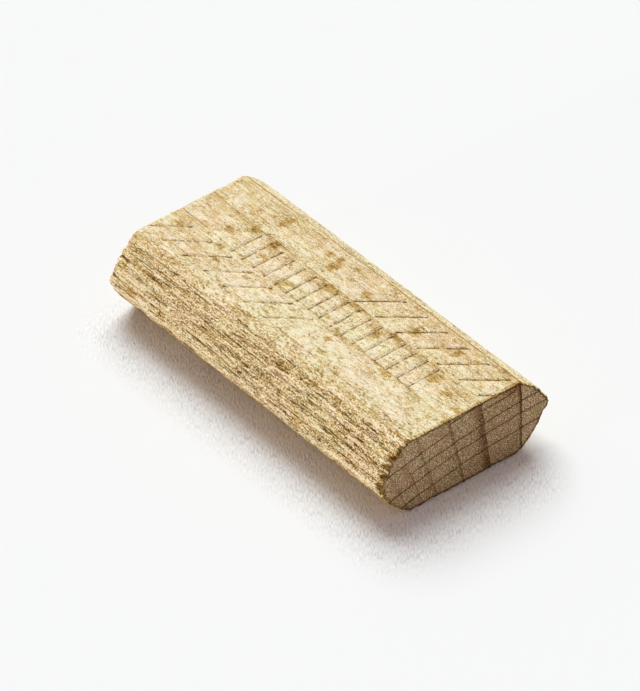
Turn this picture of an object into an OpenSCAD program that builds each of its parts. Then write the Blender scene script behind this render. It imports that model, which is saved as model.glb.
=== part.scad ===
// Loose tenon: a short bar of hardwood that is glued into two facing mortises.
// X runs along the grain, Y across the width and Z through the thickness.
// The origin lies under the middle of the bar, on its lower wide face.

/* [Bar] */
// Length along the grain
length = 50; // [50:1:150]
// Width over the two reeded edges
width = 24; // [23:0.5:40]
// Thickness between the wide faces, which is the size of the mortise
thickness = 10; // [9:0.25:12]

/* [Reeded edges] */
// How far each edge reaches past the flat of the wide faces
edge_reach = 4.4; // [4:0.1:5]
// Radius of the bow that the crests of the reeds lie on
flank_r = 8.4; // [7:0.1:14]
// Reeds from the nose of an edge to its shoulder, the nose not counted
reeds = 5; // [4:1:6]
// Radius of each reed
reed_r = 0.95; // [0.8:0.05:1.2]

/* [Pressed grooves] */
// Width of a groove at the face
groove_w = 0.5; // [0.3:0.05:0.8]
// Depth of a groove
groove_d = 0.22; // [0.1:0.02:0.4]
// Distance of the pattern's centre from the middle of the bar, along the grain
pattern_x = 1.25; // [-2:0.05:2]
// Distance of the pattern's centre from the middle of the bar, across it
pattern_y = 0.6; // [-0.7:0.05:0.7]

/* [Slanted grooves] */
// Angle of a slanted groove to the grain
slant = 45; // [35:1:60]
// Slanted grooves in one row
slant_count = 7; // [3:1:7]
// Distance between them along the grain
slant_step = 3.7; // [2.5:0.1:4]
// Distance of the first one from the pattern's centre, along the grain
slant_start = 2.2; // [1:0.1:4]
// Distance of a row's middle from the pattern's centre, across the grain
slant_y = 4.8; // [4.5:0.1:5]
// Breadth of a row
slant_w = 4; // [2:0.1:4.2]

/* [Cross grooves] */
// Cross grooves in the middle row
cross_count = 17; // [3:2:17]
// Distance between them along the grain
cross_step = 2; // [1:0.1:2]
// Length of a cross groove
cross_run = 4.6; // [2:0.1:4.6]

/* [Wear] */
// Radius of the scoop that a broken splinter left at the nose of one end
chip_r = 1.3; // [0.8:0.1:1.6]

/* [Hidden] */
$fn = 96;
beech = [0.87, 0.78, 0.62];
// The cutters stand this far proud of what they cut
proud = 0.2;
// Where the middle of the chip's scoop lies, past the end and past the nose
chip_out = [0.3 * chip_r, 0.45 * chip_r];

// Centres of the nose reed and of the shoulder reed, in the first quarter of the section
nose = [width / 2 - reed_r, 0];
shoulder = [width / 2 - edge_reach, thickness / 2 - reed_r];
// The arc that all the reeds' centres lie on, bowed outwards between those two
centres_r = flank_r - reed_r;
chord = norm(shoulder - nose);
outward = [shoulder.y - nose.y, nose.x - shoulder.x] / chord;
sag_gap = sqrt(centres_r ^ 2 - (chord / 2) ^ 2);
bow = (nose + shoulder) / 2 - outward * sag_gap;
nose_angle = atan2(nose.y - bow.y, nose.x - bow.x);
shoulder_angle = atan2(shoulder.y - bow.y, shoulder.x - bow.x);
reed_turn = (shoulder_angle - nose_angle) / reeds;

// Centre of reed i, counted from the nose at 0
function reed_centre(i) = bow + centres_r * [cos(nose_angle + i * reed_turn), sin(nose_angle + i * reed_turn)];

// The same centre in quarter q, counted anticlockwise from the first
side = [[1, 1], [-1, 1], [-1, -1], [1, -1]];
function in_quarter(q, i) = [side[q].x * reed_centre(i).x, side[q].y * reed_centre(i).y];

// All centres once round the section, with each nose given once
rim = concat(
    [for (i = [0:reeds]) in_quarter(0, i)],
    [for (i = [reeds:-1:0]) in_quarter(1, i)],
    [for (i = [1:reeds]) in_quarter(2, i)],
    [for (i = [reeds:-1:1]) in_quarter(3, i)]
);

// Section of the bar: flat wide faces, and edges of rounded reeds that meet in creases
module section() {
    square([width - 2 * edge_reach, thickness], center = true);
    polygon(rim);
    for (centre = rim) translate(centre) circle(reed_r);
}

module bar() {
    translate([0, 0, thickness / 2]) rotate([90, 0, 90]) linear_extrude(length, center = true) section();
}

// V groove along X in a face at Z = 0
module groove(run) {
    top_half_w = groove_w / 2 * (1 + proud / groove_d);
    rotate([90, 0, 90]) linear_extrude(run, center = true)
        polygon([[-top_half_w, proud], [0, -groove_d], [top_half_w, proud]]);
}

// A row of slanted grooves on one side of the pattern
module slanted_row() {
    for (i = [0:slant_count - 1])
        translate([slant_start + i * slant_step, slant_y, 0])
            rotate([0, 0, slant]) groove(slant_w / sin(slant));
}

// The middle row of grooves straight across the grain
module cross_row() {
    for (i = [0:cross_count - 1])
        translate([(i - (cross_count - 1) / 2) * cross_step, 0, 0]) rotate([0, 0, 90]) groove(cross_run);
}

// The whole pattern, the same when it is turned half round, in a face at Z = 0
module pattern() {
    translate([pattern_x, pattern_y, 0]) {
        for (turn = [0, 180]) rotate([0, 0, turn]) slanted_row();
        cross_row();
    }
}

module chip() {
    translate([length / 2 + chip_out.x, -width / 2 - chip_out.y, thickness / 2]) sphere(chip_r);
}

module tenon() {
    color(beech) difference() {
        bar();
        translate([0, 0, thickness]) pattern();
        rotate([180, 0, 0]) pattern();
        chip();
    }
}

tenon();
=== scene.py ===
import math

import bpy
import numpy as np
from mathutils import Matrix, Vector
from mathutils.geometry import delaunay_2d_cdt


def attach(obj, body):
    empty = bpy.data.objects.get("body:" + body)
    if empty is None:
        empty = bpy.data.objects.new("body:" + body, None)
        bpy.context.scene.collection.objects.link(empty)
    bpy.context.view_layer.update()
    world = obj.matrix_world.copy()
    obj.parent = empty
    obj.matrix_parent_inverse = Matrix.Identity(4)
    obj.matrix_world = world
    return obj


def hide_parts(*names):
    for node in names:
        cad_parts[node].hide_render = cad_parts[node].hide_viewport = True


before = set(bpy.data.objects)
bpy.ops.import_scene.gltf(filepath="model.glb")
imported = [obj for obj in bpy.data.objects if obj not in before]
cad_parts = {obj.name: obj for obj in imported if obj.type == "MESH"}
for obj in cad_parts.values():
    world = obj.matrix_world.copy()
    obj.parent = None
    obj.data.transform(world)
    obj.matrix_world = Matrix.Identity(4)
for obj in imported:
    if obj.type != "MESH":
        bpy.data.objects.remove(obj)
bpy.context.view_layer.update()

# ---------------------------------------------------------------- driving sizes, in mm

MM = 0.001
LENGTH = 50.0
WIDTH = 24.0
THICKNESS = 10.0
EDGE_REACH = 4.4  # how far each reeded edge reaches past the flat of the wide faces
FLAT = WIDTH / 2 - EDGE_REACH  # half the breadth of that flat
FLANK_R = 8.4  # radius of the bow that the reeds' crests lie on
REEDS = 5  # reeds from the nose to the shoulder, the nose not counted
REED_R = 0.95

GROOVE_W = 0.5
GROOVE_D = 0.22
PATTERN = (1.25, 0.6)  # centre of the pressed pattern on the upper face
SLANT = math.radians(45)
SLANT_COUNT = 7
SLANT_STEP = 3.7
SLANT_START = 2.2
SLANT_Y = 4.8
SLANT_W = 4.0
CROSS_COUNT = 17
CROSS_STEP = 2.0
CROSS_RUN = 4.6

# The scoop that a broken splinter left at the -Y nose of the +X end
CHIP_R = 1.3
CHIP_AT = (LENGTH / 2 + 0.3 * CHIP_R, -WIDTH / 2 - 0.45 * CHIP_R, THICKNESS / 2)

BROAD_RING = 2.7  # outer boundary of the ring whose late wood is broadest
STAINED_RING = 8.4  # outer boundary of the ring that is stained on the ends
# The tree's rings where they meet the upper face at the +X end. Each has its outer boundary, and the
# breadth and the strength of its late wood.
RINGS = (
    (-13.5, 0.5, 0.5),
    (-11.7, 0.5, 0.5),
    (-9.2, 0.4, 0.6),
    (-6.6, 0.5, 0.9),
    (-1.9, 0.6, 1.3),
    (BROAD_RING, 2.0, 1.2),
    (STAINED_RING, 0.6, 1.5),
    (13.0, 0.5, 0.6),
)
RING_DRIFT = 0.02  # sideways for each mm along the bar
RING_LEAN = 0.16  # sideways for each mm down
RING_SPREAD = 0.0193  # the share by which they draw together for each mm down
RAY_RISE = 0.13  # the rays' rise for each mm across the bar, where y is 0
RAY_CURVE = 0.00575  # how far they fall below that slope for each square mm of y
# The large rays that show on the ends: height where y is 0, and from which y to which
RAYS = (
    (9.5, -1.8, 2.6),
    (8.4, -11.0, -1.9),
    (8.4, 2.9, 7.6),
    (6.5, -7.5, 11.2),
    (4.85, -11.5, 12.0),
    (2.75, -9.2, 11.5),
)

# The largest ray flecks: x, y, z, half length and half breadth
TOP = THICKNESS
FLECKS = (
    (-22.6, -2.9, TOP, 0.8, 0.35),
    (-17.9, 0.8, TOP, 0.8, 0.5),
    (-16.1, -2.0, TOP, 0.6, 0.4),
    (-16.0, 2.9, TOP, 0.9, 0.7),
    (-14.8, 6.6, TOP, 0.7, 1.0),
    (-14.7, -3.9, TOP, 0.8, 0.4),
    (-12.2, 2.8, TOP, 0.6, 0.9),
    (-11.6, 0.5, TOP, 0.7, 0.4),
    (-9.9, -3.2, TOP, 0.5, 0.35),
    (-7.0, 6.5, TOP, 0.6, 0.5),
    (-6.3, -0.6, TOP, 1.2, 0.8),
    (-5.0, 5.8, TOP, 0.8, 1.4),
    (-3.8, -5.4, TOP, 0.6, 0.3),
    (-2.2, 3.0, TOP, 1.3, 0.6),
    (1.6, 5.0, TOP, 0.6, 0.7),
    (2.7, 2.7, TOP, 1.3, 0.5),
    (4.3, -1.2, TOP, 0.5, 0.4),
    (4.9, -3.3, TOP, 0.5, 0.4),
    (6.3, -5.2, TOP, 0.8, 0.45),
    (7.8, 1.3, TOP, 0.6, 0.7),
    (9.9, 2.7, TOP, 1.1, 0.4),
    (10.4, 5.2, TOP, 0.7, 1.2),
    (11.8, -1.8, TOP, 0.8, 0.3),
    (13.8, -2.2, TOP, 1.0, 0.4),
    (16.4, 6.2, TOP, 0.6, 0.8),
    (17.9, 1.5, TOP, 0.8, 0.9),
    (21.2, 0.8, TOP, 0.9, 0.55),
    (24.1, -0.2, TOP, 0.7, 0.5),
    (-23.3, -10.7, 7.8, 0.6, 0.5),
    (-20.6, -11.9, 5.6, 0.9, 0.5),
    (-14.9, -11.9, 5.6, 0.9, 0.5),
    (4.1, -9.3, 8.9, 1.0, 0.5),
    (9.8, -11.9, 5.5, 0.9, 0.5),
)

# Wear of the two edges
FULLER = 0.4  # how much further out the +Y edge bulges over its upper half
NOSE_LIFT = 0.3  # how much higher the +Y nose lies
BEAK = 0.5  # how far the +Y nose juts out at the +X end
BEAK_RUN = 4.0  # how much of the length it juts out over
CREST_WEAR = 0.15  # how far the crests of the lower +Y reeds are worn down at the +X end
CREST_RUN = 6.0  # how much of the length they are worn over
# Splits in the reeds at the +X end: side, height, breadth, depth and length
SPLITS = ((1, 6.1, 0.3, 0.15, 3.0), (-1, 7.0, 0.3, 0.2, 2.0))

# Wear of the two ends
WEAR_REACH = 2.5  # how far along the bar it reaches
FAR_WEAR = 0.45  # how far the -Y edge is worn back at the -X end
FRAY = 0.14  # mean length that has broken off the fibres of the rims
CHIPPED = 0.2  # length of the chips along the rims
REED_CHIPPED = 0.3  # how much longer they are on the reeds
ARRIS = 0.09  # radius of the worn edges round the ends
# Where the reeds of the -Y edge are broken back from the +X end: height, breadth and how far
BROKEN = (
    (8.9, 0.25, 0.4),
    (8.3, 0.35, 0.8),
    (7.55, 0.3, 1.0),
    (6.4, 0.35, 0.9),
    (5.4, 0.5, 0.9),
    (3.4, 0.4, 0.4),
)

# Depths of the finer relief
PLANED = 0.012  # of the fibres that the plane left
RING_LEDGE = 0.035  # by which the early wood of a ring lies lower where it starts
SCRATCH = 0.02  # of the thin lines along the wide faces
REED_FIBRE = 0.035  # of the worn fibres of the reeds
RUBBED = 0.04  # worn off the reeds' crests here and there
FISSURE = 0.13  # of the broken lines that run with the grain
TEAR = 0.1  # of the places where fibres are torn out
SHOULDER_FILL = 0.08  # by which the crease beside the shoulder is shallower than the others
WANDER = 0.1  # how far the reeds stray to and fro, in reeds
DRIFT = 0.22  # shift of the upper -Y and lower +Y reeds from the nose, away from the +X end, in reeds
END_SUNK = 0.1  # of the sawn ends under those of the solids
SAWN = 0.02  # of the saw's marks
END_LEDGE = 0.03  # as RING_LEDGE, on the sawn ends

CHIP_DARKER = 1.6  # how many times as dark as a ray fleck the chip is

# Mesh spacing
CELL = 0.2  # along the bar and across the flats
END_CELL = 0.1  # along the bar close to its ends
END_ZONE = 0.8  # how far from the ends that is
REED_CELLS = 8  # from crease to crease
CAP_CELL = 0.3  # on the end faces
RIM_CELL = 0.14  # on the end faces close to their rims
RIM_ZONE = 0.4  # how close that is

# The paper
FIBRE_TURN = 52.7  # degrees from X to the line that its fibres cross
SHADE_SHIFT = 4.0  # to +X and to -Y, of the ground that the bar shades
SHADE_NARROWER = 3.0  # what is taken off each side of that ground's width, which is otherwise the bar's
SHADE_FADE = 7.0  # how far beyond that ground the fibres have faded out

# Light and floor
FLOOR = 3.0  # half the side of the floor, in metres
DOME = (0.345, 0.289, 0.281, 1)  # colour of the light from all round
BACKDROP = (0.94, 0.94, 0.94, 1)  # what the camera sees beyond the floor
SPECULAR = 0.12  # of the raw wood and the paper


# ---------------------------------------------------------------- noise

def lattice(cell, seed):
    """A repeatable random number from -1 to 1 for each whole-number cell, an array of (n, 3)."""
    mixed = cell[:, 0] * 73856093 ^ cell[:, 1] * 19349663 ^ cell[:, 2] * 83492791 ^ seed * 2654435761
    mixed = (mixed ^ mixed >> 15) * 2246822519 & 0xFFFFFFFF
    mixed = (mixed ^ mixed >> 13) * 3266489917 & 0xFFFFFFFF
    return ((mixed ^ mixed >> 16) & 0xFFFFFF) / 0x7FFFFF - 1


def noise(x, y, z, seed):
    """Smooth noise from -1 to 1, one cell to each unit of x, y and z. Each seed gives a noise of its own."""
    at = np.stack(np.broadcast_arrays(x, y, z), -1).reshape(-1, 3)
    cell = np.floor(at).astype(np.int64)
    part = at - cell
    part = part * part * (3 - 2 * part)
    total = np.zeros(len(at))
    for corner in np.ndindex(2, 2, 2):
        weight = np.prod(np.where(corner, part, 1 - part), 1)
        total += weight * lattice(cell + corner, seed)
    return total.reshape(np.broadcast(x, y, z).shape)


def ramp(value, low, high):
    """0 on low's side, 1 on high's and smooth between."""
    t = np.clip((value - low) / (high - low), 0, 1)
    return t * t * (3 - 2 * t)


def near_end(x, start, full=0.0):
    """0 further than start from the +X end, 1 nearer to it than full and smooth between."""
    return ramp(x, LENGTH / 2 - start, LENGTH / 2 - full)


# ---------------------------------------------------------------- section of the bar

class Edge:
    """The +Y reeded edge above mid-thickness: reeds on a bow, counted from the nose at 0."""

    nose = np.array([WIDTH / 2 - REED_R, 0.0])
    shoulder = np.array([WIDTH / 2 - EDGE_REACH, THICKNESS / 2 - REED_R])
    chord = np.linalg.norm(shoulder - nose)
    outward = np.array([shoulder[1] - nose[1], nose[0] - shoulder[0]]) / chord
    centres_r = FLANK_R - REED_R
    bow = (nose + shoulder) / 2 - outward * math.sqrt(centres_r**2 - (chord / 2) ** 2)

    @classmethod
    def angle(cls, point):
        """The direction of a point from the middle of the bow."""
        return math.atan2(point[1] - cls.bow[1], point[0] - cls.bow[0])

    @classmethod
    def lines(cls):
        """Places along the edge, in reeds, from the nose's tip to the flat, and the turn of one reed."""
        turn = (cls.angle(cls.shoulder) - cls.angle(cls.nose)) / REEDS
        tip = (cls.angle((WIDTH / 2, 0)) - cls.angle(cls.nose)) / turn
        flat = REEDS + (cls.angle(cls.shoulder + (0, REED_R)) - cls.angle(cls.shoulder)) / turn
        creases = np.arange(REEDS) + 0.5
        whole = np.linspace(creases[0], creases[-1], REED_CELLS * (REEDS - 1) + 1)
        nose_half = np.linspace(tip, creases[0], round(REED_CELLS * 0.75) + 1)
        last = np.linspace(creases[-1], flat, REED_CELLS)
        return np.concatenate([nose_half[:-1], whole, last[1:]]), turn

    @classmethod
    def place(cls, reed, moved, depth, turn):
        """Points (y, z) with the reeds' profile at reed, turned to the place moved and sunk by a depth."""
        off_crest = (reed - np.round(np.minimum(reed, REEDS))) * turn
        along = cls.centres_r * np.cos(off_crest)
        radius = along + np.sqrt(REED_R**2 - (cls.centres_r * np.sin(off_crest)) ** 2) - depth
        angle = cls.angle(cls.nose) + moved * turn
        return cls.bow[0] + radius * np.cos(angle), cls.bow[1] + radius * np.sin(angle)


# ---------------------------------------------------------------- relief of the surface

def groove(x, y, at, direction, run):
    """How deep one V groove is at points of a wide face, how far off its line, and how near its ends."""
    along = (x - at[0]) * direction[0] + (y - at[1]) * direction[1]
    aside = (y - at[1]) * direction[0] - (x - at[0]) * direction[1]
    deep = np.clip(1 - np.abs(aside) / (GROOVE_W / 2), 0, 1) * ramp(run / 2 - np.abs(along), -0.1, 0.15)
    return deep, aside, ramp(np.abs(along), run / 2 - 0.8, run / 2 - 0.2)


def pattern(x, y):
    """The pressed pattern of a wide face: the deepest groove's values at each point."""
    x, y = x - PATTERN[0], y - PATTERN[1]
    slanted = (math.cos(SLANT), math.sin(SLANT))
    slanted_run = SLANT_W / math.sin(SLANT)
    grooves = []
    for half_turn in (1, -1):
        for i in range(SLANT_COUNT):
            at = (half_turn * (SLANT_START + i * SLANT_STEP), half_turn * SLANT_Y)
            grooves.append(groove(x, y, at, slanted, slanted_run))
    for i in range(CROSS_COUNT):
        at = ((i - (CROSS_COUNT - 1) / 2) * CROSS_STEP, 0)
        grooves.append(groove(x, y, at, (0, 1), CROSS_RUN))
    deep = np.zeros_like(x)
    aside = np.full_like(x, GROOVE_W)
    tip = np.zeros_like(x)
    for one_deep, one_aside, one_tip in grooves:
        aside = np.where(one_deep > deep, one_aside, aside)
        tip = np.where(one_deep > deep, one_tip, tip)
        deep = np.maximum(deep, one_deep)
    return deep, aside, tip


def ring_place(x, y, z):
    """How far out through the tree's rings a point lies, in mm along the upper face at the +X end."""
    below = THICKNESS - z
    return (y - (LENGTH / 2 - x) * RING_DRIFT - below * RING_LEAN) / (1 - below * RING_SPREAD)


def ring_step(x, y, z):
    """1 just past each ring's boundary, where the soft early wood lies lowest, and less further out."""
    place = ring_place(x, y, z) + 0.15 * noise(x / 7, y / 2, z / 2, 11)
    step = np.zeros_like(place)
    for edge, _, _ in RINGS:
        step = np.maximum(step, ramp(place, edge - 0.1, edge + 0.1) * ramp(place, edge + 2.5, edge + 0.1))
    return step


def fissures(x, y, z, length, gap, seed):
    """From 0 to 1 along thin broken lines that run with the grain."""
    line = 1 - np.abs(noise(x / length, y / gap, z / gap, seed)) / 0.16
    broken = ramp(noise(x / (0.7 * length), y / gap, z / gap, seed + 50), -0.1, 0.35)
    return np.clip(line, 0, 1) * broken


def flecks(x, y, z):
    """From 0 to 1 inside the largest ray flecks, with ragged outlines."""
    ragged = 0.45 * noise(x / 0.35, y / 0.2, z / 0.2, 21) + 0.3 * noise(x / 0.9, y / 0.5, z / 0.5, 22)
    total = np.zeros_like(x)
    for at_x, at_y, at_z, half_length, half_breadth in FLECKS:
        across = ((y - at_y) ** 2 + (z - at_z) ** 2) / half_breadth**2
        away = np.sqrt(((x - at_x) / half_length) ** 2 + across)
        total = np.maximum(total, ramp(away + ragged, 1.25, 0.55))
    return total


def flat_relief(x, y, z):
    """Depth under the true face in mm, and the attributes, on the wide faces."""
    pressed, aside, tip = pattern(x, np.where(z > THICKNESS / 2, y, -y))
    worn = 1 + 0.5 * noise(x / 3, y / 1.2, z, 1) + 0.5 * noise(x / 0.8, y / 0.3, z, 2)
    depth = PLANED * worn + RING_LEDGE * ring_step(x, y, z)
    depth += GROOVE_D * pressed * (0.85 + 0.3 * noise(x / 1.4, y / 1.4, z, 4))
    depth += SCRATCH * ramp(np.abs(noise(x / 2.5, y / 0.35, z, 5)), 0.16, 0.05)
    nothing = np.zeros_like(x)
    groove_fields = {"pressed": pressed, "aside": aside, "tip": tip}
    return depth, {**groove_fields, "torn": nothing, "flank": nothing, "crease": nothing}


def edge_relief(x, y, z, reed):
    """The same on the reeded edges."""
    shoulder = ramp(reed, REEDS + 0.1, REEDS - 0.7)
    worn = 1 + 0.5 * noise(x / 6, y / 0.9, z / 0.9, 1) + 0.5 * noise(x / 1.6, y / 0.3, z / 0.3, 2)
    crest = np.cos(np.pi * reed) ** 2
    rubbed = crest * ramp(noise(x / 5, y, z, 8), -0.3, 0.6)
    split = np.maximum(fissures(x, y, z, 9, 0.7, 6), 0.6 * fissures(x, y, z, 4.5, 0.45, 7))
    torn = ramp(noise(x / 2.4, y / 0.4, z / 0.4, 3), 0.55, 0.85)
    depth = PLANED + shoulder * (REED_FIBRE * worn + RUBBED * rubbed + FISSURE * split + TEAR * torn)
    depth -= SHOULDER_FILL * ramp(np.abs(reed - REEDS + 0.5), 0.4, 0)
    for side, at_z, breadth, deep, run in SPLITS:
        gap = np.abs(z - at_z) / breadth + 0.3 * noise(x / 0.6, y, z, 9)
        depth += deep * ramp(gap, 1, 0.2) * near_end(x, run) * (y * side > 0)
    lower = ramp(z, THICKNESS / 2 + 1.5, THICKNESS / 2) * (y > 0)
    depth += CREST_WEAR * crest * near_end(x, CREST_RUN, 1.0) * lower
    nothing = np.zeros_like(x)
    # Where the reeds meet: the shader darkens these creases with painted shade
    crease = ramp(np.abs(reed - np.round(reed)), 0.36, 0.5) * ramp(reed, REEDS - 0.2, REEDS - 0.9)
    groove_fields = {"pressed": nothing, "aside": np.full_like(x, GROOVE_W), "tip": nothing}
    return depth, {**groove_fields, "torn": np.maximum(split, torn), "flank": shoulder, "crease": crease}


def far_wear(y, z):
    """How far the -Y edge is worn back at the -X end, in mm."""
    return FAR_WEAR * ramp(y, 1.1 - FLAT, -1.9 - FLAT) * (0.8 + 0.2 * ramp(np.abs(z - 7.3), 2.6, 0.4))


def end_wear(x, y, z, flank):
    """How far back from the true end the broken fibres of the rim end, in mm."""
    near = x > 0
    fine = noise(y / 0.22, z / 0.22, near * 3.0, 12)
    coarse = noise(y / 0.6, z / 0.6, near * 3.0, 13)
    fray = FRAY + 0.06 * fine + 0.05 * coarse
    chips = ramp(noise(y / 0.8, z / 0.8, near * 5.0, 14), 0.3, 0.6) * (1 + 0.4 * fine)
    chipped = (CHIPPED + REED_CHIPPED * flank) * chips
    notched = np.zeros_like(x)
    for at_z, breadth, back in BROKEN:
        notched = np.maximum(notched, back * ramp(np.abs(z - at_z) / breadth, 1.0, 0.5))
    jagged = np.maximum(chipped, notched + 0.15 * fine)
    near_wear = np.where(y < 0, fray + jagged * flank, fray * (1 - 0.6 * flank))
    return np.where(near, near_wear, fray + far_wear(y, z))


def fuller(x, y, z):
    """Y and z of the surface with the +Y edge in its fuller shape, and with the tip of its nose."""
    from_nose = WIDTH / 2 - y
    out = FULLER * ramp(y, FLAT - 3.6, FLAT + 0.4) * ramp(z, 4.5, 7) * ramp(from_nose, 0, 1)
    tip = np.minimum(ramp(z, 6.9, 5.4), ramp(z, 4.1, 4.5))
    out += BEAK * tip * near_end(x, BEAK_RUN) * ramp(from_nose, 3, 1.5)
    lift = NOSE_LIFT * ramp(from_nose, 1.7, 0.2) * ramp(np.abs(z - 5.4), 1.6, 0.2)
    return y + out, z + lift


def scoop(x, y, z):
    """Y of the surface after the chip at the -Y nose is taken out."""
    span = CHIP_R**2 - (x - CHIP_AT[0]) ** 2 - (z - CHIP_AT[2]) ** 2
    floor = CHIP_AT[1] + np.sqrt(np.maximum(span, 0))
    return np.where((span > 0) & (y < 0), np.maximum(y, floor), y)


# ---------------------------------------------------------------- the tenon's mesh

def stations():
    """Places along the bar, closer together at its ends."""
    near_end = np.arange(0, END_ZONE - END_CELL / 2, END_CELL)
    middle = np.linspace(END_ZONE, LENGTH - END_ZONE, round((LENGTH - 2 * END_ZONE) / CELL) + 1)
    return np.concatenate([near_end, middle, LENGTH - near_end[::-1]]) - LENGTH / 2


def edge_strip(x, side):
    """Points and attributes of one reeded edge, going down on the +Y side and up on the -Y side."""
    reeds, turn = Edge.lines()
    reed = np.concatenate([reeds[::-1], reeds[1:]])
    up = np.concatenate([np.ones(len(reeds)), -np.ones(len(reeds) - 1)])
    x, reed, up = np.broadcast_arrays(x[:, None], reed, up * side)
    y, z = Edge.place(reed, reed, 0, turn)
    y, z = y * side, THICKNESS / 2 + z * up
    depth, attributes = edge_relief(x, y, z, reed)
    wander = WANDER * noise(x / 9, y / 1.5, z / 1.5, 10) + DRIFT * ramp(x, 22, 8) * (y * up < 0)
    wander *= np.clip(reed, 0, 1) * ramp(reed, REEDS, REEDS - 1)
    worn_y, worn_z = Edge.place(reed, reed + wander, depth, turn)
    return x, worn_y * side, THICKNESS / 2 + worn_z * up, attributes


def flat_strip(x, side):
    """Points and attributes of the upper face's flat, going to +Y, or of the lower one's, going to -Y."""
    across = np.linspace(-FLAT, FLAT, round(2 * FLAT / CELL) + 1)[1:-1]
    x, y = np.broadcast_arrays(x[:, None], across * side)
    z = np.full_like(x, THICKNESS if side > 0 else 0.0)
    depth, attributes = flat_relief(x, y, z)
    return x, y, z - depth * side, attributes


def tenon_sides():
    """The grid of points along and round the bar, in mm, and its attributes."""
    x = stations()
    strips = [edge_strip(x, 1), flat_strip(x, -1), edge_strip(x, -1), flat_strip(x, 1)]
    x, y, z = (np.concatenate([strip[i] for strip in strips], 1) for i in range(3))
    y, z = fuller(x, y, z)
    attributes = {name: np.concatenate([strip[3][name] for strip in strips], 1) for name in strips[0][3]}
    worn_x = x - np.sign(x) * end_wear(x, y, z, attributes["flank"]) * near_end(np.abs(x), WEAR_REACH)
    attributes["fleck"] = flecks(x, y, z)
    from_end = LENGTH / 2 - np.abs(x)
    rounding = ARRIS * ramp(from_end, 2.5 * ARRIS, 0) * (1 + 0.6 * noise(y / 0.4, z / 0.4, x, 15))
    z = z - np.sign(z - THICKNESS / 2) * rounding * (1 - attributes["flank"])
    y = y - np.sign(y) * rounding * attributes["flank"]
    scooped = scoop(worn_x, y, z)
    # The chip's hollow is painted darker, through the fleck attribute
    attributes["fleck"] = np.maximum(attributes["fleck"], CHIP_DARKER * ramp(scooped - y, 0.02, 0.3))
    attributes["arris"] = ramp(from_end, 0.7, 0.05)
    return np.stack([worn_x, scooped, z], -1), attributes


def end_face(rim, sign):
    """An end face: its inner points, how near the rim they are, and its faces, which count the rim first."""
    candidates, gaps = [], []
    for cell, low, high in ((RIM_CELL, 0.6 * RIM_CELL, RIM_ZONE), (CAP_CELL, RIM_ZONE, WIDTH)):
        columns = np.arange(-WIDTH / 2, WIDTH / 2, cell)
        grid_y, grid_z = np.meshgrid(columns, np.arange(cell / 2, THICKNESS, 0.87 * cell))
        grid_y[1::2] += cell / 2
        points = np.stack([grid_y.ravel(), grid_z.ravel()], 1)
        gap = np.min(np.linalg.norm(points[:, None] - rim[None, :, 1:], axis=2), 1)
        kept = (gap > low) & (gap <= high) & inside(points, rim[:, 1:])
        candidates.append(points[kept])
        gaps.append(gap[kept])
    inner = np.concatenate(candidates)
    count = len(rim)
    loop = [(i, (i + 1) % count) for i in range(count)]
    flat = delaunay_2d_cdt([Vector(p) for p in [*rim[:, 1:], *inner]], loop, [], 1, 1e-6)
    assert len(flat[0]) == count + len(inner), "the end face gained or lost points"
    order = [source[0] for source in flat[3]]
    faces = [[order[i] for i in face][::sign] for face in flat[2]]
    y, z = inner.T
    sunk = END_SUNK + SAWN * noise(y / 0.3, z / 0.3, sign, 16) + far_wear(y, z) * (sign < 0)
    sunk += END_LEDGE * ring_step(np.full_like(y, sign * LENGTH / 2), y, z)
    near_rim = ramp(np.concatenate(gaps), RIM_ZONE, 0)
    return np.column_stack([sign * (LENGTH / 2 - sunk), inner]), near_rim, faces


def inside(points, loop):
    """Whether each point lies inside the closed outline."""
    y0, z0 = loop.T
    y1, z1 = np.roll(loop, -1, 0).T
    y, z = points[:, :1], points[:, 1:]
    rising = np.where(z1 == z0, 1, z1 - z0)
    crossing = ((z0 > z) != (z1 > z)) & (y0 + (z - z0) / rising * (y1 - y0) > y)
    return np.count_nonzero(crossing, 1) % 2 == 1


def build_tenon():
    """The tenon as one closed mesh: its sides in material slot 0, its two ends in slot 1."""
    sides, attributes = tenon_sides()
    rows, cols = sides.shape[:2]
    points = sides.reshape(-1, 3)
    corner = np.arange(rows - 1)[:, None] * cols + np.arange(cols)
    beside = np.roll(corner, -1, 1)
    faces = np.stack([corner, corner + cols, beside + cols, beside], -1).reshape(-1, 4).tolist()
    slots = [0] * len(faces)
    values = {name: [field.ravel()] for name, field in attributes.items()}
    for first, sign in ((0, -1), ((rows - 1) * cols, 1)):
        rim = np.arange(cols) + first
        inner, near_rim, cap = end_face(points[rim], sign)
        index = np.concatenate([rim, np.arange(len(inner)) + len(points)])
        faces += [[int(index[i]) for i in face] for face in cap]
        slots += [1] * len(cap)
        points = np.concatenate([points, inner])
        cap_values = {"aside": np.full(len(inner), GROOVE_W), "arris": near_rim}
        for name, fields in values.items():
            fields.append(cap_values.get(name, np.zeros(len(inner))))
    mesh = bpy.data.meshes.new("tenon_wood")
    mesh.from_pydata((points * MM).tolist(), [], faces)
    mesh.polygons.foreach_set("material_index", slots)
    mesh.polygons.foreach_set("use_smooth", [True] * len(faces))
    for name, fields in values.items():
        attribute = mesh.attributes.new(name, "FLOAT", "POINT")
        attribute.data.foreach_set("value", np.concatenate(fields).astype(np.float32))
    mesh.update()
    piece = bpy.data.objects.new("tenon_wood", mesh)
    bpy.context.collection.objects.link(piece)
    return piece


# ---------------------------------------------------------------- shader nodes

def srgb(red, green, blue):
    """A linear colour from one in 0 to 255 as a screen shows it."""
    def linear(value):
        value /= 255
        return value / 12.92 if value <= 0.04045 else ((value + 0.055) / 1.055) ** 2.4
    return linear(red), linear(green), linear(blue), 1.0


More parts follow.
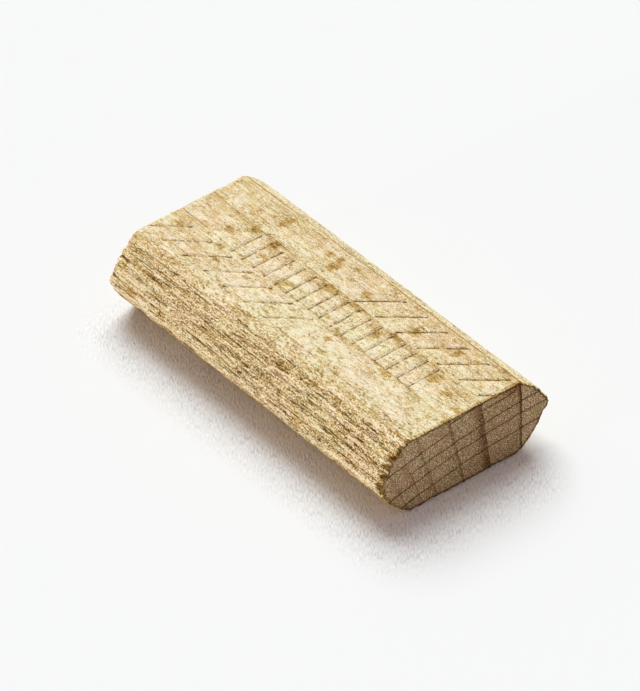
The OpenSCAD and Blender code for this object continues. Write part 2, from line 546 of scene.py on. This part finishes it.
class Shade:
    """Adds nodes to one material. Places are in mm, and most methods return the new node's output."""

    def __init__(self, name):
        self.material = bpy.data.materials.new(name)
        self.material.use_nodes = True
        self.tree = self.material.node_tree
        self.shader = self.tree.nodes["Principled BSDF"]
        here = self.node("TexCoord", {}).outputs["Object"]
        self.place = self.node("VectorMath", {0: here, 3: 1 / MM}, operation="SCALE").outputs[0]
        self.x, self.y, self.z = self.node("SeparateXYZ", {0: self.place}).outputs

    def feed(self, socket, value):
        """Links an output to a socket, or sets the socket to a plain value."""
        if isinstance(value, bpy.types.NodeSocket):
            self.tree.links.new(value, socket)
        else:
            socket.default_value = value

    def node(self, kind, inputs, **settings):
        """Adds a node with these inputs and settings, and returns the node itself."""
        made = self.tree.nodes.new("ShaderNode" + kind)
        for key, value in settings.items():
            setattr(made, key, value)
        for key, value in inputs.items():
            self.feed(made.inputs[key], value)
        return made

    def math(self, operation, *values):
        """One operation on the values, each an output or a number."""
        return self.node("Math", dict(enumerate(values)), operation=operation).outputs[0]

    def add(self, *terms):
        """The sum of the terms, each a value or a pair of a value and the number it is multiplied by."""
        total = 0.0
        for term in terms:
            value, factor = term if isinstance(term, tuple) else (term, 1.0)
            total = self.math("MULTIPLY_ADD", value, factor, total)
        return total

    def both(self, *values):
        """The product of the values: where they run from 0 to 1, 1 where all of them are."""
        product = values[0]
        for value in values[1:]:
            product = self.math("MULTIPLY", product, value)
        return product

    def either(self, *values):
        """The greatest of the values."""
        greatest = values[0]
        for value in values[1:]:
            greatest = self.math("MAXIMUM", greatest, value)
        return greatest

    def step(self, value, low, high, to_low=0.0, to_high=1.0):
        """to_low on low's side, to_high on high's and smooth between."""
        inputs = {"Value": value, "From Min": low, "From Max": high, "To Min": to_low, "To Max": to_high}
        return self.node("MapRange", inputs, interpolation_type="SMOOTHSTEP").outputs["Result"]

    def band(self, value, start, full, fading, end):
        """1 from full to fading, 0 before start and after end, and smooth between."""
        return self.both(self.step(value, start, full), self.step(value, end, fading))

    def attribute(self, name):
        """The mesh's own value of this name."""
        return self.node("Attribute", {}, attribute_name=name).outputs["Fac"]

    def cells(self, vector, sizes, offset=0.0):
        """The vector in cells of these sizes along its three axes, moved by an offset to other cells."""
        inputs = {0: vector, 1: [1 / size for size in sizes]}
        stretched = self.node("VectorMath", inputs, operation="MULTIPLY").outputs[0]
        return self.node("VectorMath", {0: stretched, 1: [offset] * 3}, operation="ADD").outputs[0]

    def noise(self, sizes, detail=1.0, roughness=0.5, offset=0.0, vector=None):
        """Noise from about -1 to 1 in cells of these sizes. Each offset gives a noise of its own."""
        at = self.cells(self.place if vector is None else vector, sizes, offset)
        inputs = {"Vector": at, "Scale": 1.0, "Detail": detail, "Roughness": roughness}
        return self.math("MULTIPLY_ADD", self.node("TexNoise", inputs).outputs["Fac"], 4.0, -2.0)

    def spots(self, sizes, radius, share, offset=0.0, vector=None):
        """1 inside small spots, one in the given share of the cells of these sizes."""
        at = self.cells(self.place if vector is None else vector, sizes, offset)
        found = self.node("TexVoronoi", {"Vector": at, "Scale": 1.0})
        random = self.node("SeparateXYZ", {0: found.outputs["Color"]}).outputs[0]
        picked = self.math("LESS_THAN", random, share)
        return self.both(self.step(found.outputs["Distance"], radius, 0.5 * radius), picked)

    def warped_place(self, size, amount):
        """The place moved about by noise in cells of one size."""
        inputs = {"Vector": self.cells(self.place, (size, size, size)), "Scale": 1.0, "Detail": 1.0}
        colour = self.node("TexNoise", inputs).outputs["Color"]
        moved = self.node("VectorMath", {0: colour, 1: [0.5] * 3}, operation="SUBTRACT").outputs[0]
        inputs = {0: moved, 1: [amount] * 3, 2: self.place}
        return self.node("VectorMath", inputs, operation="MULTIPLY_ADD").outputs[0]

    def palette(self, tone, colours):
        """The colour for a tone from 0 to 1, from evenly spaced ones."""
        made = self.node("ValToRGB", {0: tone})
        stops = made.color_ramp.elements
        stops.remove(stops[-1])
        for i, colour in enumerate(colours):
            stop = stops[0] if i == 0 else stops.new(i / (len(colours) - 1))
            stop.position = i / (len(colours) - 1)
            stop.color = srgb(*colour)
        return made.outputs[0]

    def mix(self, factor, a, b, blend="MIX"):
        """Colour a with colour b blended into it."""
        made = self.node("Mix", {}, data_type="RGBA", blend_type=blend)
        for socket, value in ((0, factor), (6, a), (7, b)):
            self.feed(made.inputs[socket], value)
        return made.outputs[2]

    def finish(self, colour, roughness, height, depth):
        """The material, with its shader's inputs set. A height of 1 stands depth mm high."""
        normal = self.node("Bump", {"Height": height, "Distance": depth * MM}).outputs[0]
        for name, value in (("Base Color", colour), ("Roughness", roughness), ("Normal", normal)):
            self.feed(self.shader.inputs[name], value)
        self.feed(self.shader.inputs["Specular IOR Level"], SPECULAR)
        return self.material


# ---------------------------------------------------------------- beech

class Beech(Shade):
    """Nodes that both beech materials share."""

    def __init__(self, name):
        super().__init__(name)
        below = self.math("SUBTRACT", THICKNESS, self.z)
        leaned = self.add((self.x, RING_DRIFT), (below, -RING_LEAN), self.y, -RING_DRIFT * LENGTH / 2)
        ring = self.math("DIVIDE", leaned, self.add((below, -RING_SPREAD), 1.0))
        self.ring = self.add(ring, (self.noise((9, 2.5, 2.5)), 0.12), (self.noise((1.6, 0.5, 0.5)), 0.04))
        self.ray = self.add(self.z, (self.y, -RAY_RISE), (self.both(self.y, self.y), RAY_CURVE))

    def latewood(self):
        """Each ring's strength at its outer boundary, falling off inwards over its breadth of late wood."""
        bands = []
        for edge, breadth, strength in RINGS:
            bands.append((self.band(self.ring, edge - breadth, edge - 0.05, edge, edge + 0.08), strength))
        return self.add(*bands)

    def ring_lines(self):
        """The same on the thin line where one ring ends and the next begins, broken here and there."""
        lines = []
        for edge, _, strength in RINGS:
            lines.append((self.band(self.ring, edge - 0.16, edge - 0.02, edge, edge + 0.08), strength))
        broken = self.step(self.noise((3, 0.4, 0.4), 2.0, 0.6, 47.0), -0.5, 0.3)
        return self.both(self.add(*lines), broken)

    def growth(self):
        """From 0 in the early wood of a ring to 1 in its late wood."""
        bands = []
        for (start, _, _), (edge, _, _) in zip(RINGS[:-1], RINGS[1:]):
            bands.append(self.band(self.ring, start + 0.3 * (edge - start), edge, edge, edge + 0.1))
        return self.add(*bands)

    def ray_lines(self):
        """1 on the thin lines of the large rays that cross the end."""
        waved = self.add(self.ray, (self.noise((3, 2.2, 1.0), 1.0, 0.5, 53.0), 0.09))
        lines = []
        for height, start, end in RAYS:
            off_line = self.math("ABSOLUTE", self.add(waved, -height))
            within = self.band(self.y, start - 0.2, start + 0.2, end - 0.2, end + 0.2)
            lines.append(self.both(self.step(off_line, 0.12, 0.05), within))
        return self.add(*lines)

    def rays(self, length, gap, low, high, offset):
        """1 inside the rays of one size, which are spindles in sheets that run out through the rings."""
        ragged = self.noise((0.5, 1.2, 0.3), 2.0, 0.6, offset)
        across = self.add((ragged, 0.06), (self.ray, 1 / gap))
        along = self.add((ragged, 0.04), (self.x, 1 / length))
        flat = self.node("CombineXYZ", {0: along, 1: across, 2: offset}).outputs[0]
        cells = self.node("TexVoronoi", {"Vector": flat, "Scale": 1.0})
        random = self.node("SeparateXYZ", {0: cells.outputs["Color"]}).outputs[0]
        size = self.add((random, high - low), low)
        return self.step(self.math("DIVIDE", cells.outputs["Distance"], size), 1.0, 0.6)

    def stained_ring(self, faded, full):
        """1 just inside the stained ring's boundary, and fading inwards from full to faded mm inside it."""
        edge = STAINED_RING
        return self.band(self.ring, edge - faded, edge - full, edge + 0.02, edge + 0.1)

    def tinted(self, colour, sizes, offset, spread, warm, cool):
        """The colour, here a little warmer and there a little cooler."""
        hue = self.step(self.noise(sizes, 1.0, 0.5, offset), -spread, spread)
        return self.mix(1.0, colour, self.mix(hue, srgb(*warm), srgb(*cool)), "MULTIPLY")


class LongGrain(Beech):
    """The wide faces and the reeded edges."""

    def __init__(self):
        super().__init__("beech_long_grain")
        self.flank = self.attribute("flank")
        self.face = self.math("SUBTRACT", 1.0, self.flank)
        self.tip = self.attribute("tip")
        self.fleck = self.attribute("fleck")
        self.mottle = self.noise((0.8, 0.45, 0.45), 2.0, 0.6, 3.0)
        self.patch = self.noise((2.6, 1.4, 1.4), 3.0, 0.6)
        self.grain = self.noise((5.0, 0.15, 0.15), 1.0, 0.6, 29.0)
        self.pits = self.spots((0.42, 0.26, 0.26), 0.34, 0.06, 5.0)
        self.small_rays = self.rays(1.3, 0.2, 0.14, 0.34, 31.0)
        dabs = self.spots((1.7, 1.0, 1.0), 0.4, 0.5, 71.0, self.warped_place(0.5, 0.9))
        self.dabs = self.both(dabs, self.step(self.mottle, -0.9, 0.3, 1.0, 0.3))
        # The -Y edge is cracked all over, the +Y edge mostly low down
        minus_y = self.step(self.y, 2.0, -2.0, 0.25, 1.0)
        self.cracked_side = self.either(minus_y, self.step(self.z, 8.0, 6.5, 0.25, 0.8))
        self.add_fibres()
        self.add_grooves()
        self.add_cracks()

    def add_fibres(self):
        """Threads, grit and dust, which run from coarse to fine."""
        coarse = self.step(self.noise((1.6, 0.8, 0.8), 2.0, 0.6, 59.0), -0.6, 0.6, 0.5, 1.4)
        smoother = self.step(self.x, -LENGTH / 2 + 1, -LENGTH / 2 + 11, 0.6, 1.0)
        self.thread = self.both(smoother, self.noise((0.7, 0.16, 0.16), 1.0, 0.6, 7.0))
        self.fibre = self.both(coarse, self.thread)
        grit = self.step(self.noise((0.32, 0.18, 0.18), 1.0, 0.6, 13.0), -0.6, 0.6, -1.0, 1.0)
        self.grit = self.both(coarse, grit)
        self.dust = self.both(smoother, self.noise((0.17, 0.13, 0.13), 0.0, 0.6, 73.0))

    def add_grooves(self):
        """The dark lines of the pressed grooves, darker pressed fibres with painted shade, and the painted
        highlights on the lips that stand beside them.
        """
        waved = self.add((self.noise((0.5, 0.5, 0.5), 1.0, 0.5, 41.0), 0.04), self.attribute("aside"))
        worn = self.step(self.noise((2.2, 1.2, 1.2), 2.0, 0.6, 43.0), -0.6, 0.6, 0.2, 1.0)
        fainter_row = self.step(self.y, -3.2, -1.8, 0.55, 1.0)
        cut = self.both(self.step(self.attribute("pressed"), 0.05, 0.4), worn, fainter_row)
        line = self.step(self.math("ABSOLUTE", waved), 0.13, 0.03)
        self.pressed = self.both(line, self.either(cut, self.math("MULTIPLY", self.tip, 0.8)))
        self.painted_lip_highlight = self.both(self.band(waved, -0.38, -0.26, -0.18, -0.12), cut)

    def add_cracks(self):
        """Fine cracks of the reeds, and the frayed rim of the +X end."""
        line = self.math("ABSOLUTE", self.noise((9, 0.34, 0.34), 1.0, 0.5, 17.0))
        broken = self.step(self.noise((2.2, 0.5, 0.5), 1.0, 0.5, 23.0), 0.0, 0.25)
        self.cracks = self.both(self.step(line, 0.2, 0.04), broken, self.flank, self.cracked_side)
        rim = self.step(self.attribute("arris"), 0.3, 0.8)
        self.frayed = self.both(rim, self.step(self.mottle, -0.6, 0.2), self.step(self.x, -1.0, 1.0))

    def painted_crease_shadow(self):
        """Painted shade: the dark crease that shows along the far edge of the upper face."""
        waved = self.add(self.y, -FLAT - 0.9, (self.noise((4, 2, 2), 1.0, 0.5, 89.0), 0.08))
        line = self.step(self.math("ABSOLUTE", waved), 0.16, 0.04)
        return self.both(line, self.step(self.z, 5.0, 8.0), self.step(self.mottle, -1.2, 0.0, 0.4, 1.0))

    def tone(self):
        """How light the wood is, from 0 to 1."""
        face, flank, mottle, grit = self.face, self.flank, self.mottle, self.grit
        pale = self.both(self.step(self.noise((2.4, 1.3, 1.3), 2.0, 0.6, 61.0), 0.0, 0.6), face)
        streaks = self.both(self.noise((8, 0.28, 0.28), 1.0, 0.5, 83.0), flank)
        sheets = self.rays(4.2, 0.62, 0.1, 0.3, 7.0)
        # Painted shade in the creases between the reeds
        crease = self.both(self.attribute("crease"), self.step(self.grain, -0.6, 0.4, 1.0, 0.2))
        # Zones that are paler or darker than the rest. Some are painted light and shade: the upper face
        # paler towards the light, painted shade in the crease beside the -Y shoulder, and painted highlights
        # on the first -Y reed's crest and on the +Y edge
        painted_sheen = self.both(self.step(self.y, 7.0, -4.5), self.step(self.x, -18.0, -8.0, 0.35, 1.0), face)
        shoulder = self.both(self.step(self.y, -FLAT + 2.4, -FLAT + 0.4), face)
        # Painted shade in the crease beside the -Y shoulder
        painted_hollow_shade = self.band(self.y, -FLAT - 0.7, -FLAT - 0.4, -FLAT + 0.1, -FLAT + 0.6)
        # Painted highlight on the crest of the first -Y reed
        rounded_y = self.step(self.y, -FLAT - 0.5, -FLAT - 0.8)
        painted_crest_highlight = self.both(rounded_y, self.step(self.z, THICKNESS - 0.55, THICKNESS - 0.4))
        nose = self.both(self.band(self.z, 4.5, 4.9, 5.3, 5.7), flank)
        # Painted highlight along the +Y edge, which faces the softbox
        painted_far_edge_light = self.both(flank, self.step(self.y, FLAT - 0.6, FLAT + 0.9))
        return self.add(
            0.87,
            # Both kinds of surface
            (mottle, 0.09),
            (self.grain, 0.13),
            (self.fibre, 0.13),
            (grit, 0.08),
            (self.dust, 0.16),
            (self.growth(), -0.05),
            (self.ring_lines(), -0.17),
            (self.pits, -0.5),
            (self.small_rays, -0.08),
            (self.fleck, -0.28),
            (self.frayed, -0.2),
            # The grooves: pressed fibres with painted shade, darkest at their ends, and painted highlights
            # on their lips
            (self.pressed, -0.46),
            (self.both(self.pressed, self.tip), -0.4),
            (self.painted_lip_highlight, 0.14),
            # The wide faces
            (face, -0.04),
            (pale, 0.09),
            (self.both(self.patch, face), 0.1),
            (self.both(self.dabs, face), -0.17),
            (self.both(self.latewood(), face), -0.07),
            (self.both(sheets, face), -0.05),
            (painted_sheen, 0.1),
            (self.both(mottle, painted_sheen), 0.07),
            (self.both(self.patch, painted_sheen), 0.05),
            (self.both(grit, shoulder), 0.1),
            (self.both(self.thread, shoulder), 0.1),
            (painted_hollow_shade, -0.12),
            (painted_crest_highlight, 0.12),
            # The reeded edges
            (flank, -0.02),
            (streaks, 0.18),
            (self.both(self.patch, flank), 0.02),
            (self.both(self.grain, flank), 0.06),
            (self.both(self.thread, flank), 0.12),
            (self.both(grit, flank), 0.1),
            (self.both(self.dust, flank), 0.2),
            (self.both(sheets, flank), -0.1),
            (self.cracks, -0.5),
            (self.attribute("torn"), -0.12),
            (self.both(crease, self.cracked_side), -0.4),
            (self.step(self.y, -FLAT + 1.6, -FLAT - 0.4), -0.05),
            # Painted shade: below mid-thickness the wood is darker, so it throws less light into the paper's
            # shadow beside the bar
            (self.step(self.z, 4.2, 3.4), -0.25),
            (nose, 0.1),
            (painted_far_edge_light, 0.14),
            (self.painted_crease_shadow(), -0.45),
        )

    def finished(self):
        """The finished material."""
        straws = ((98, 66, 24), (142, 107, 52), (186, 151, 92), (227, 198, 143), (255, 243, 213))
        colour = self.palette(self.tone(), straws)
        golden = self.either(self.fleck, self.frayed, self.dabs, self.pressed)
        colour = self.mix(self.math("MULTIPLY", golden, 0.5), colour, srgb(250, 243, 185), "MULTIPLY")
        colour = self.mix(self.flank, colour, srgb(255, 254, 248), "MULTIPLY")
        colour = self.tinted(colour, (6, 3, 3), 37.0, 0.6, (255, 251, 248), (253, 255, 246))
        height = self.add(
            (self.mottle, 0.3),
            (self.grain, 0.3),
            (self.both(self.grain, self.flank), 0.4),
            (self.fibre, 0.5),
            (self.grit, 0.25),
            (self.pits, -0.9),
            (self.dabs, -0.3),
            (self.small_rays, -0.3),
            (self.pressed, -1.5),
            (self.fleck, -0.8),
            (self.cracks, -2.0),
        )
        return self.finish(colour, self.add(0.68, (self.mottle, 0.05), (self.fleck, -0.12)), height, 0.08)


class EndGrain(Beech):
    """The sawn ends."""

    def __init__(self):
        super().__init__("beech_end_grain")
        self.mottle = self.noise((1, 0.5, 0.5), 2.0, 0.6, 3.0)
        self.grit = self.noise((1, 0.2, 0.2), 1.0, 0.6, 7.0)
        self.specks = self.spots((1, 0.36, 0.36), 0.36, 0.3, 5.0)
        self.large_rays = self.both(self.ray_lines(), self.step(self.mottle, -1.0, -0.2))
        self.late = self.latewood()
        # Near the rim the end is darker and more golden: the frayed fibres' colour, with painted shade along
        # the rim
        self.rim = self.step(self.add(self.attribute("arris"), (self.mottle, 0.15)), 0.2, 0.8)
        along_ring = self.both(self.stained_ring(0.8, 0.05), self.step(self.z, 5.5, 8.5))
        under_face = self.both(self.stained_ring(4.4, 0.4), self.step(self.z, 8.2, 9.8))
        self.stain = self.either(along_ring, under_face)

    def tone(self):
        """How light the wood is, from 0 to 1."""
        grains = self.step(self.noise((1, 0.14, 0.14), 0.0, 0.6, 79.0), -0.1, 0.6, -0.25, 0.75)
        broad = self.band(self.ring, BROAD_RING - 1.2, BROAD_RING - 0.6, BROAD_RING, BROAD_RING + 0.08)
        inner_side = self.step(self.ring, STAINED_RING + 0.2, STAINED_RING)
        return self.add(
            0.58,
            (self.noise((2, 1.5, 1.5), 2.0), 0.06),
            (self.mottle, 0.12),
            (self.grit, 0.22),
            (grains, 0.42),
            (self.specks, 0.22),
            (self.growth(), -0.05),
            (self.late, -0.18),
            (broad, -0.1),
            (self.stained_ring(0.28, 0.15), -0.2),
            (self.large_rays, -0.5),
            (self.stain, -0.2),
            # Painted shade along the rim, with the frayed fibres' colour
            (self.rim, -0.35),
            # Painted shade along the bottom, where the end meets the paper
            (self.step(self.z, 0.6, 0.1), -0.3),
            (self.both(self.step(self.y, -3.0, 4.0), inner_side), -0.06),
        )

    def finished(self):
        """The finished material."""
        browns = (
            (86, 60, 33),
            (120, 92, 58),
            (150, 122, 87),
            (178, 151, 115),
            (214, 189, 153),
            (250, 226, 190),
        )
        colour = self.palette(self.tone(), browns)
        colour = self.tinted(colour, (3, 2.2, 2.2), 67.0, 0.5, (255, 250, 246), (252, 255, 244))
        colour = self.mix(self.math("MULTIPLY", self.stain, 0.8), colour, srgb(255, 205, 170), "MULTIPLY")
        colour = self.mix(self.math("MULTIPLY", self.rim, 0.8), colour, srgb(255, 245, 190), "MULTIPLY")
        height = self.add(
            (self.grit, 0.4),
            (self.specks, 0.4),
            (self.mottle, 0.3),
            (self.large_rays, -0.6),
            (self.late, 0.3),
        )
        return self.finish(colour, self.add(0.85, (self.mottle, 0.04)), height, 0.08)


# ---------------------------------------------------------------- paper

def paper():
    """White paper. Its fibres are painted into its colour and bumped only where the bar shades it, as the
    light and shade that grazing light gives them.
    """
    shade = Shade("paper")
    from_middle = shade.add(shade.x, -SHADE_SHIFT), shade.add(shade.y, SHADE_SHIFT)
    halves = LENGTH / 2, WIDTH / 2 - SHADE_NARROWER
    beyond = []
    for value, half in zip(from_middle, halves):
        beyond.append(shade.either(shade.add(shade.math("ABSOLUTE", value), -half), 0.0))
    away = shade.math("SQRT", shade.add(*(shade.both(side, side) for side in beyond)))
    inputs = {"Vector": shade.place, "Angle": math.radians(-FIBRE_TURN)}
    turned = shade.node("VectorRotate", inputs, rotation_type="Z_AXIS").outputs[0]
    uneven = shade.step(shade.noise((1.6, 1.6, 1.0)), -0.6, 0.6, 0.5, 1.2)
    strokes = shade.noise((0.2, 0.8, 1.0), vector=turned)
    # The fibres' painted light and shade, also their bump, only on the shaded ground
    fibres = shade.both(shade.step(away, SHADE_FADE, 1.0), uneven, strokes)
    grey = shade.math("MULTIPLY_ADD", fibres, 0.19, 0.93)
    colour = shade.node("CombineColor", {0: grey, 1: grey, 2: grey}).outputs[0]
    return shade.finish(colour, shade.add(0.9, (fibres, 0.03)), fibres, 0.05)


# ---------------------------------------------------------------- light, floor and camera

def add_lamp(name, towards, share, degrees, colour):
    """A soft lamp, far off in a direction, that lights a facing surface to this share of its own colour."""
    sun = bpy.data.lights.new(name, "SUN")
    sun.energy = math.pi * share
    sun.color = colour
    sun.angle = math.radians(degrees)
    lamp = bpy.data.objects.new(name, sun)
    lamp.rotation_euler = Vector(towards).to_track_quat("Z", "Y").to_euler()
    bpy.context.collection.objects.link(lamp)


def build_floor():
    """A sheet of paper, far wider than the view."""
    mesh = bpy.data.meshes.new("floor")
    corners = [(-FLOOR, -FLOOR, 0), (FLOOR, -FLOOR, 0), (FLOOR, FLOOR, 0), (-FLOOR, FLOOR, 0)]
    mesh.from_pydata(corners, [], [(0, 1, 2, 3)])
    floor = bpy.data.objects.new("floor", mesh)
    bpy.context.collection.objects.link(floor)
    floor.data.materials.append(paper())


def build_world():
    """A dome of weak light, which the camera sees as a pale backdrop."""
    world = bpy.data.worlds.new("studio")
    bpy.context.scene.world = world
    world.use_nodes = True
    nodes, links = world.node_tree.nodes, world.node_tree.links
    dome = nodes["Background"]
    dome.inputs["Color"].default_value = DOME
    backdrop = nodes.new("ShaderNodeBackground")
    backdrop.inputs["Color"].default_value = BACKDROP
    seen = nodes.new("ShaderNodeMixShader")
    links.new(nodes.new("ShaderNodeLightPath").outputs["Is Camera Ray"], seen.inputs[0])
    links.new(dome.outputs[0], seen.inputs[1])
    links.new(backdrop.outputs[0], seen.inputs[2])
    links.new(seen.outputs[0], nodes["World Output"].inputs["Surface"])


def build_camera():
    """The photograph's camera. The origin lies right_px right of its frame's middle and down_px below."""
    azimuth, elevation, roll = (math.radians(angle) for angle in (52.748, 38.921, -2.127))
    focal_px = 8164.5
    px_per_mm = 8.8038
    right_px, down_px = 5.32, 29.58
    frame_px = (640, 691)
    level = math.cos(elevation)
    back = Vector((math.sin(azimuth) * level, -math.cos(azimuth) * level, math.sin(elevation)))
    right = Vector((math.cos(azimuth), math.sin(azimuth), 0))
    up = back.cross(right)
    right, up = right * math.cos(roll) + up * math.sin(roll), up * math.cos(roll) - right * math.sin(roll)
    place = (back * focal_px - right * right_px + up * down_px) / px_per_mm
    data = bpy.data.cameras.new("camera")
    data.sensor_width = 36
    data.lens = focal_px * data.sensor_width / max(frame_px)
    data.clip_start, data.clip_end = 0.01, 20
    camera = bpy.data.objects.new("camera", data)
    camera.matrix_world = Matrix.Translation(place * MM) @ Matrix((right, up, back)).transposed().to_4x4()
    bpy.context.collection.objects.link(camera)
    bpy.context.scene.camera = camera


bpy.context.scene.view_settings.view_transform = "Standard"
tenon = build_tenon()
tenon.data.materials.append(LongGrain().finished())
tenon.data.materials.append(EndGrain().finished())
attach(tenon, "root")
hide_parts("tenon")

build_floor()
add_lamp("softbox", towards=(-0.66, 0.41, 1.0), share=0.865, degrees=46, colour=(0.955, 1.045, 1.06))
add_lamp("reflector", towards=(-0.1, -1.0, 0.015), share=0.62, degrees=5, colour=(1.0, 0.95, 1.0))
build_world()
build_camera()
